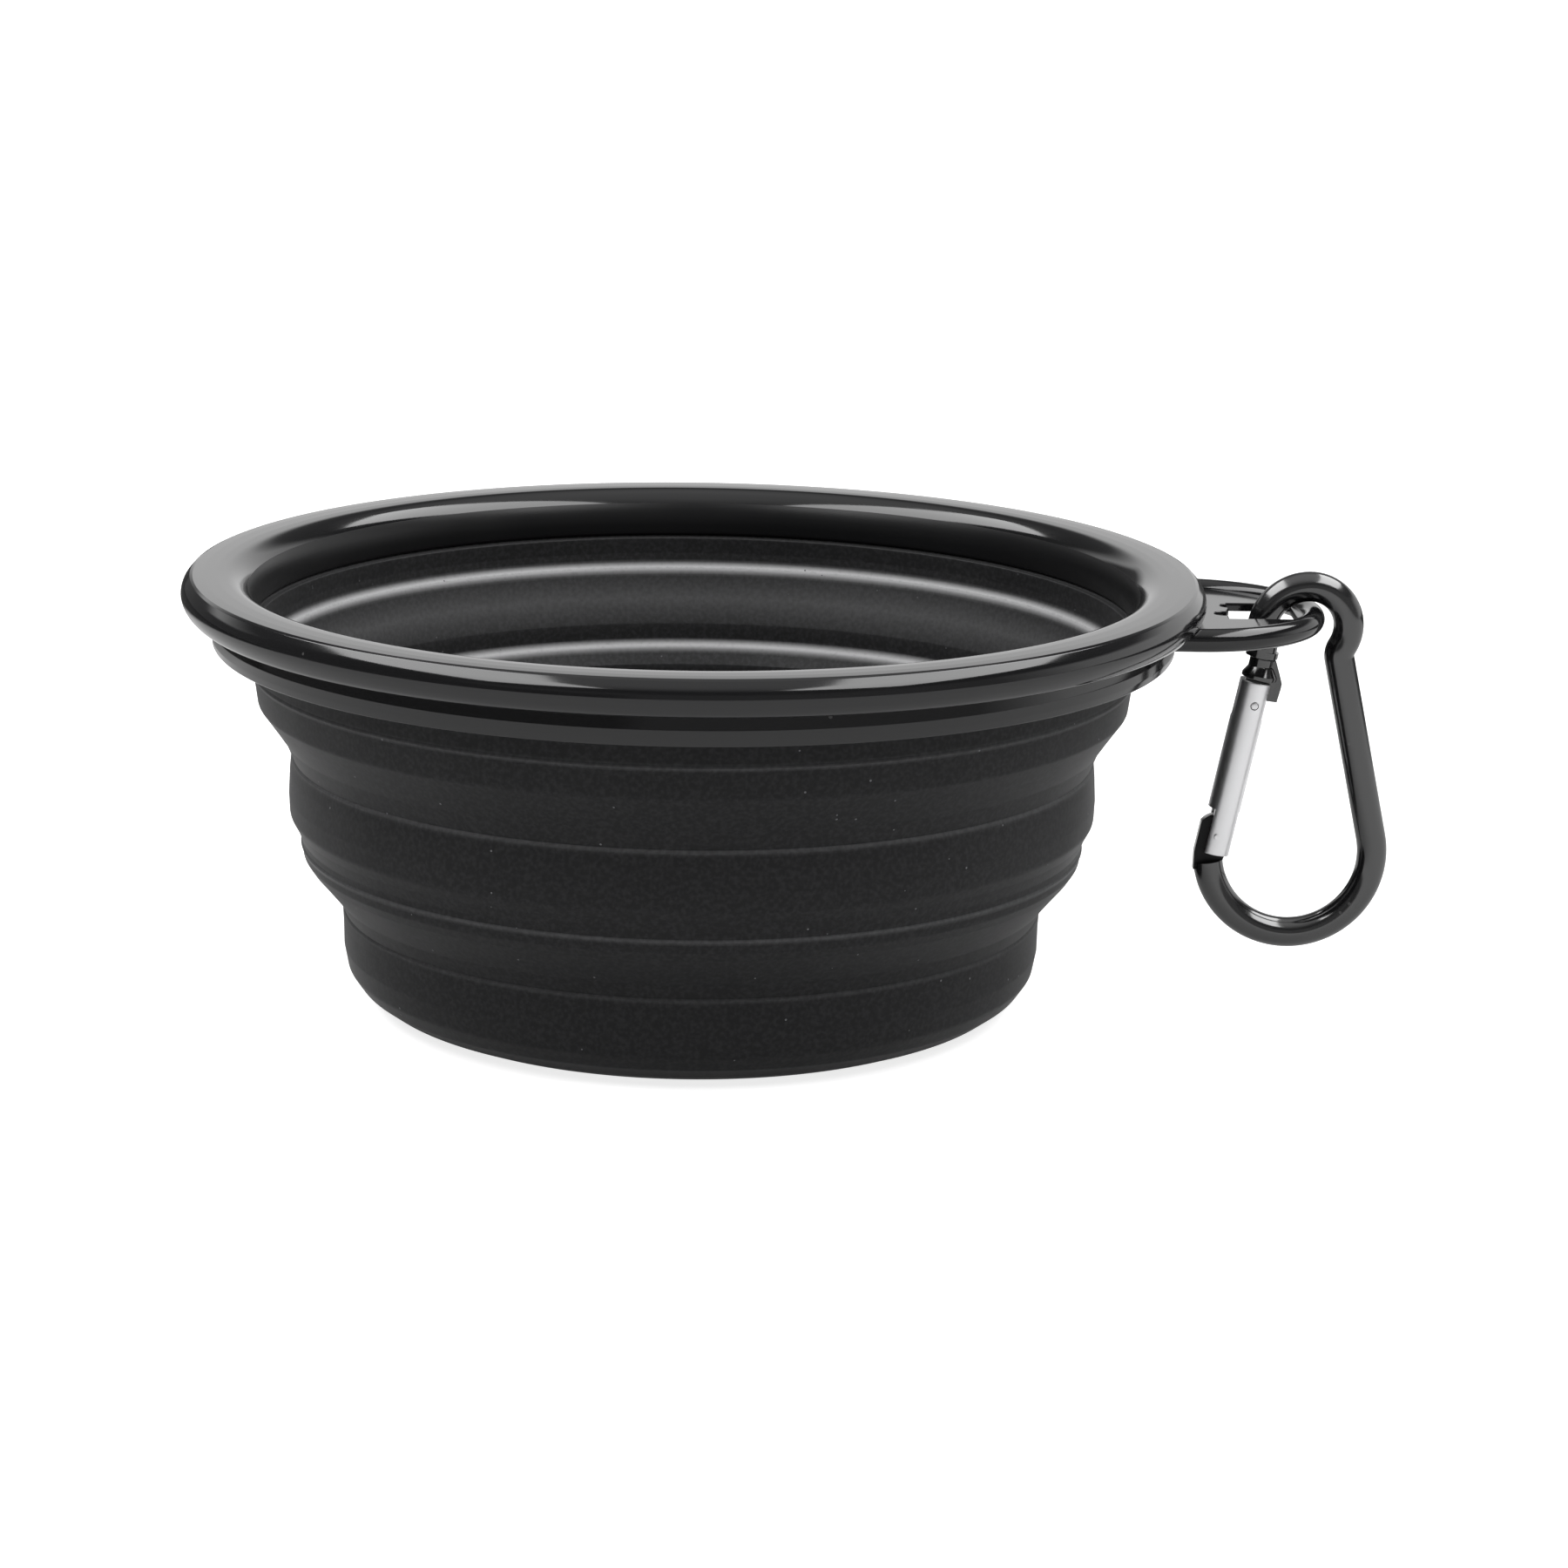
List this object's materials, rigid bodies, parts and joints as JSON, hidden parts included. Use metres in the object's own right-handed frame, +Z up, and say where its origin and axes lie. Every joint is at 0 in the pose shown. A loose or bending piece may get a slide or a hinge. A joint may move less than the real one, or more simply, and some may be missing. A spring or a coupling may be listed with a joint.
{
  "type": "collapsible pet bowl",
  "caption": "Round soft bowl that folds flat into its hard rim in two steps, with a slotted tab on the rim and a spring-gated carabiner hanging in it",
  "frame": {"origin": "centre of the base's flat underside, where the bowl stands", "axes": "+Z up through the bowl's mouth; +X from the bowl's axis to the tab and the carabiner; +Y away from the viewer of the picture"},
  "size_m": [0.1554, 0.1302, 0.0565],
  "materials": {
    "rim_plastic": "glossy black moulded plastic",
    "silicone": "matt black silicone with fine specks",
    "black_metal": "black anodised, polished",
    "bright_metal": "bright plated, lightly brushed"
  },
  "bodies": {
    "rim": {"rim_ring": "rim_plastic", "clamp_ring": "rim_plastic", "silicone_collar": "silicone", "upper_web": "silicone"},
    "middle": {"middle_band": "silicone", "lower_web": "silicone"},
    "base": {"base_cup": "silicone"},
    "carabiner": {"carabiner_frame": "black_metal"},
    "gate": {"gate": "bright_metal", "gate_rivet": "bright_metal", "latch_pin": "bright_metal", "gate_plunger": "bright_metal", "gate_spring": "bright_metal"}
  },
  "joints": [
    {"name": "upper_fold", "type": "slide", "parent": "rim", "child": "middle", "axis": [0, 0, 1], "range_m": [0, 0.022], "deforming": ["upper_web"]},
    {"name": "lower_fold", "type": "slide", "parent": "middle", "child": "base", "axis": [0, 0, 1], "range_m": [0, 0.0175], "deforming": ["lower_web"]},
    {"name": "carabiner_swing", "type": "hinge", "parent": "rim", "child": "carabiner", "pos_m": [0.07885, 0, 0.0496], "axis": [0, -1, 0], "range_deg": [-20, 95]},
    {"name": "gate_hinge", "type": "hinge", "parent": "carabiner", "child": "gate", "pos_m": [0.06816, 0, 0.02185], "axis": [0, 1, 0], "range_deg": [0, 22], "stiffness_Nm_per_rad": 0.08, "springref_deg": -17.19}
  ]
}
